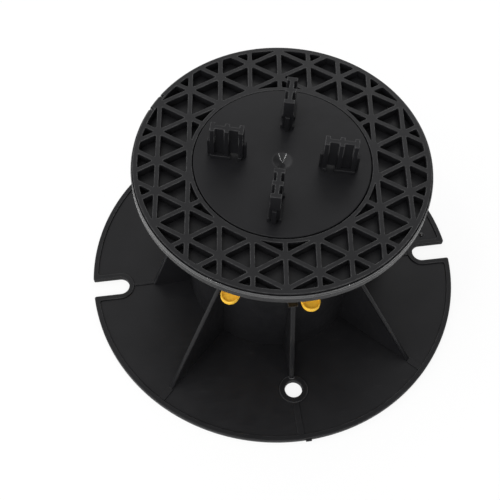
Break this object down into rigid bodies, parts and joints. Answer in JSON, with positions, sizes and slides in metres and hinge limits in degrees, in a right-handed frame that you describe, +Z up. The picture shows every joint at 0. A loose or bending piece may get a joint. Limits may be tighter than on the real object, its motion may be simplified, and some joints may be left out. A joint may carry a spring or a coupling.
{
  "type": "decking pedestal",
  "caption": "Height-adjustable decking pedestal: gusseted slotted base, yellow ring nut on the column, threaded stem, triangular isogrid head plate and a swivelling disc with spacer tabs.",
  "frame": {"origin": "centre of the base's underside, on the axis of the column", "axes": "+Z up along the column, towards the head; +X through the middle of one of the base's two open slots; +Y through one of its two fixing holes"},
  "size_m": [0.1992, 0.2009, 0.1266],
  "materials": {
    "base_plastic": "black moulded polypropylene, satin, lightly scuffed on the edges",
    "stem_plastic": "black moulded polypropylene, smooth on the thread",
    "grid_plastic": "black moulded polypropylene, fine moulded texture on the rib tops",
    "disc_plastic": "black moulded polypropylene, satin",
    "yellow_plastic": "yellow moulded polypropylene, slightly glossy"
  },
  "bodies": {
    "base": {"base": "base_plastic"},
    "nut": {"ring_nut": "yellow_plastic"},
    "head": {"stem": "stem_plastic", "isogrid_plate": "grid_plastic"},
    "disc": {"tab_disc": "disc_plastic"}
  },
  "joints": [
    {"name": "nut_turn", "type": "hinge", "parent": "base", "child": "nut", "pos_m": [0, 0, 0.0573], "axis": [0, 0, -1], "range_deg": [-1800, 600]},
    {"name": "head_height", "type": "slide", "parent": "base", "child": "head", "axis": [0, 0, 1], "range_m": [-0.0301, 0.0101]},
    {"name": "disc_swivel", "type": "hinge", "parent": "head", "child": "disc", "pos_m": [0, 0, 0.107], "axis": [0, 0, 1], "continuous": true}
  ],
  "couplings": [
    {"joint": "head_height", "follows": "nut_turn", "m_per_rad": 0.00095493}
  ]
}
